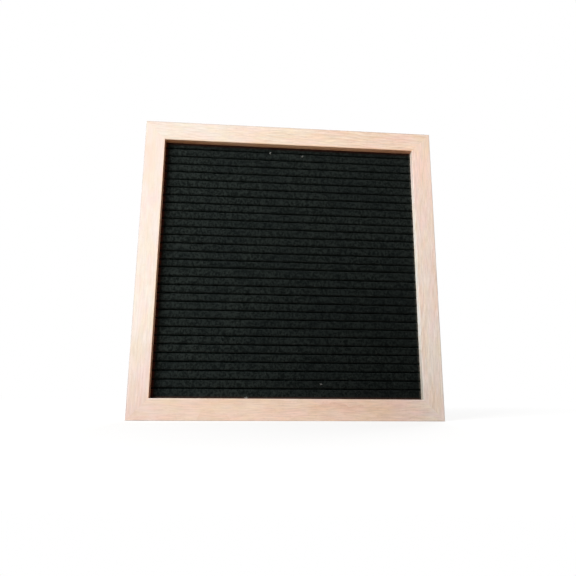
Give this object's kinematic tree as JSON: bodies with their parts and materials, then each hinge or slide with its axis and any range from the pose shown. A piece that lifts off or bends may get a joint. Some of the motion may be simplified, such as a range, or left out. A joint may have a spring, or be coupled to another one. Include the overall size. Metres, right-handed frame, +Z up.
{
  "type": "felt letter board",
  "caption": "Square felt letter board: a mitred wood frame round two felt-covered grooved panels, with turn buttons and a sawtooth hanger behind.",
  "frame": {"origin": "middle of the flat bottom edge of the frame, on which the board stands", "axes": "+Z up the board, X across it, and -Y the way the felt faces, so +Y is its back"},
  "size_m": [0.254, 0.0194, 0.254],
  "materials": {
    "beech": "pale beech, matt clear lacquer",
    "black_felt": "black felt with a short nap",
    "black_plastic": "black extruded plastic",
    "hardboard": "brown hardboard, smooth face out",
    "zinc_steel": "bright zinc-plated steel",
    "brass_plate": "brass-plated steel, satin",
    "black_rubber": "soft black rubber"
  },
  "bodies": {
    "frame": {"top_rail": "beech", "bottom_rail": "beech", "left_stile": "beech", "right_stile": "beech", "corner_nail_top_left": "zinc_steel", "corner_nail_top_right": "zinc_steel", "corner_nail_bottom_left": "zinc_steel", "corner_nail_bottom_right": "zinc_steel", "upper_grooved_panel": "black_plastic", "lower_grooved_panel": "black_plastic", "upper_felt": "black_felt", "lower_felt": "black_felt", "backing_board": "hardboard", "button_screw_upper_left": "zinc_steel", "button_screw_upper_right": "zinc_steel", "button_screw_lower_left": "zinc_steel", "button_screw_lower_right": "zinc_steel", "sawtooth_hanger": "brass_plate", "hanger_nail_left": "brass_plate", "hanger_nail_right": "brass_plate", "wall_bumper_left": "black_rubber", "wall_bumper_right": "black_rubber"},
    "upper_left_button": {"turn_button_upper_left": "zinc_steel"},
    "upper_right_button": {"turn_button_upper_right": "zinc_steel"},
    "lower_left_button": {"turn_button_lower_left": "zinc_steel"},
    "lower_right_button": {"turn_button_lower_right": "zinc_steel"}
  },
  "joints": [
    {"name": "upper_left_button_turn", "type": "hinge", "parent": "frame", "child": "upper_left_button", "pos_m": [-0.1215, 0.0086, 0.191], "axis": [0, 1, 0], "continuous": true},
    {"name": "upper_right_button_turn", "type": "hinge", "parent": "frame", "child": "upper_right_button", "pos_m": [0.1215, 0.0086, 0.191], "axis": [0, 1, 0], "continuous": true},
    {"name": "lower_left_button_turn", "type": "hinge", "parent": "frame", "child": "lower_left_button", "pos_m": [-0.1215, 0.0086, 0.063], "axis": [0, 1, 0], "continuous": true},
    {"name": "lower_right_button_turn", "type": "hinge", "parent": "frame", "child": "lower_right_button", "pos_m": [0.1215, 0.0086, 0.063], "axis": [0, 1, 0], "continuous": true}
  ]
}
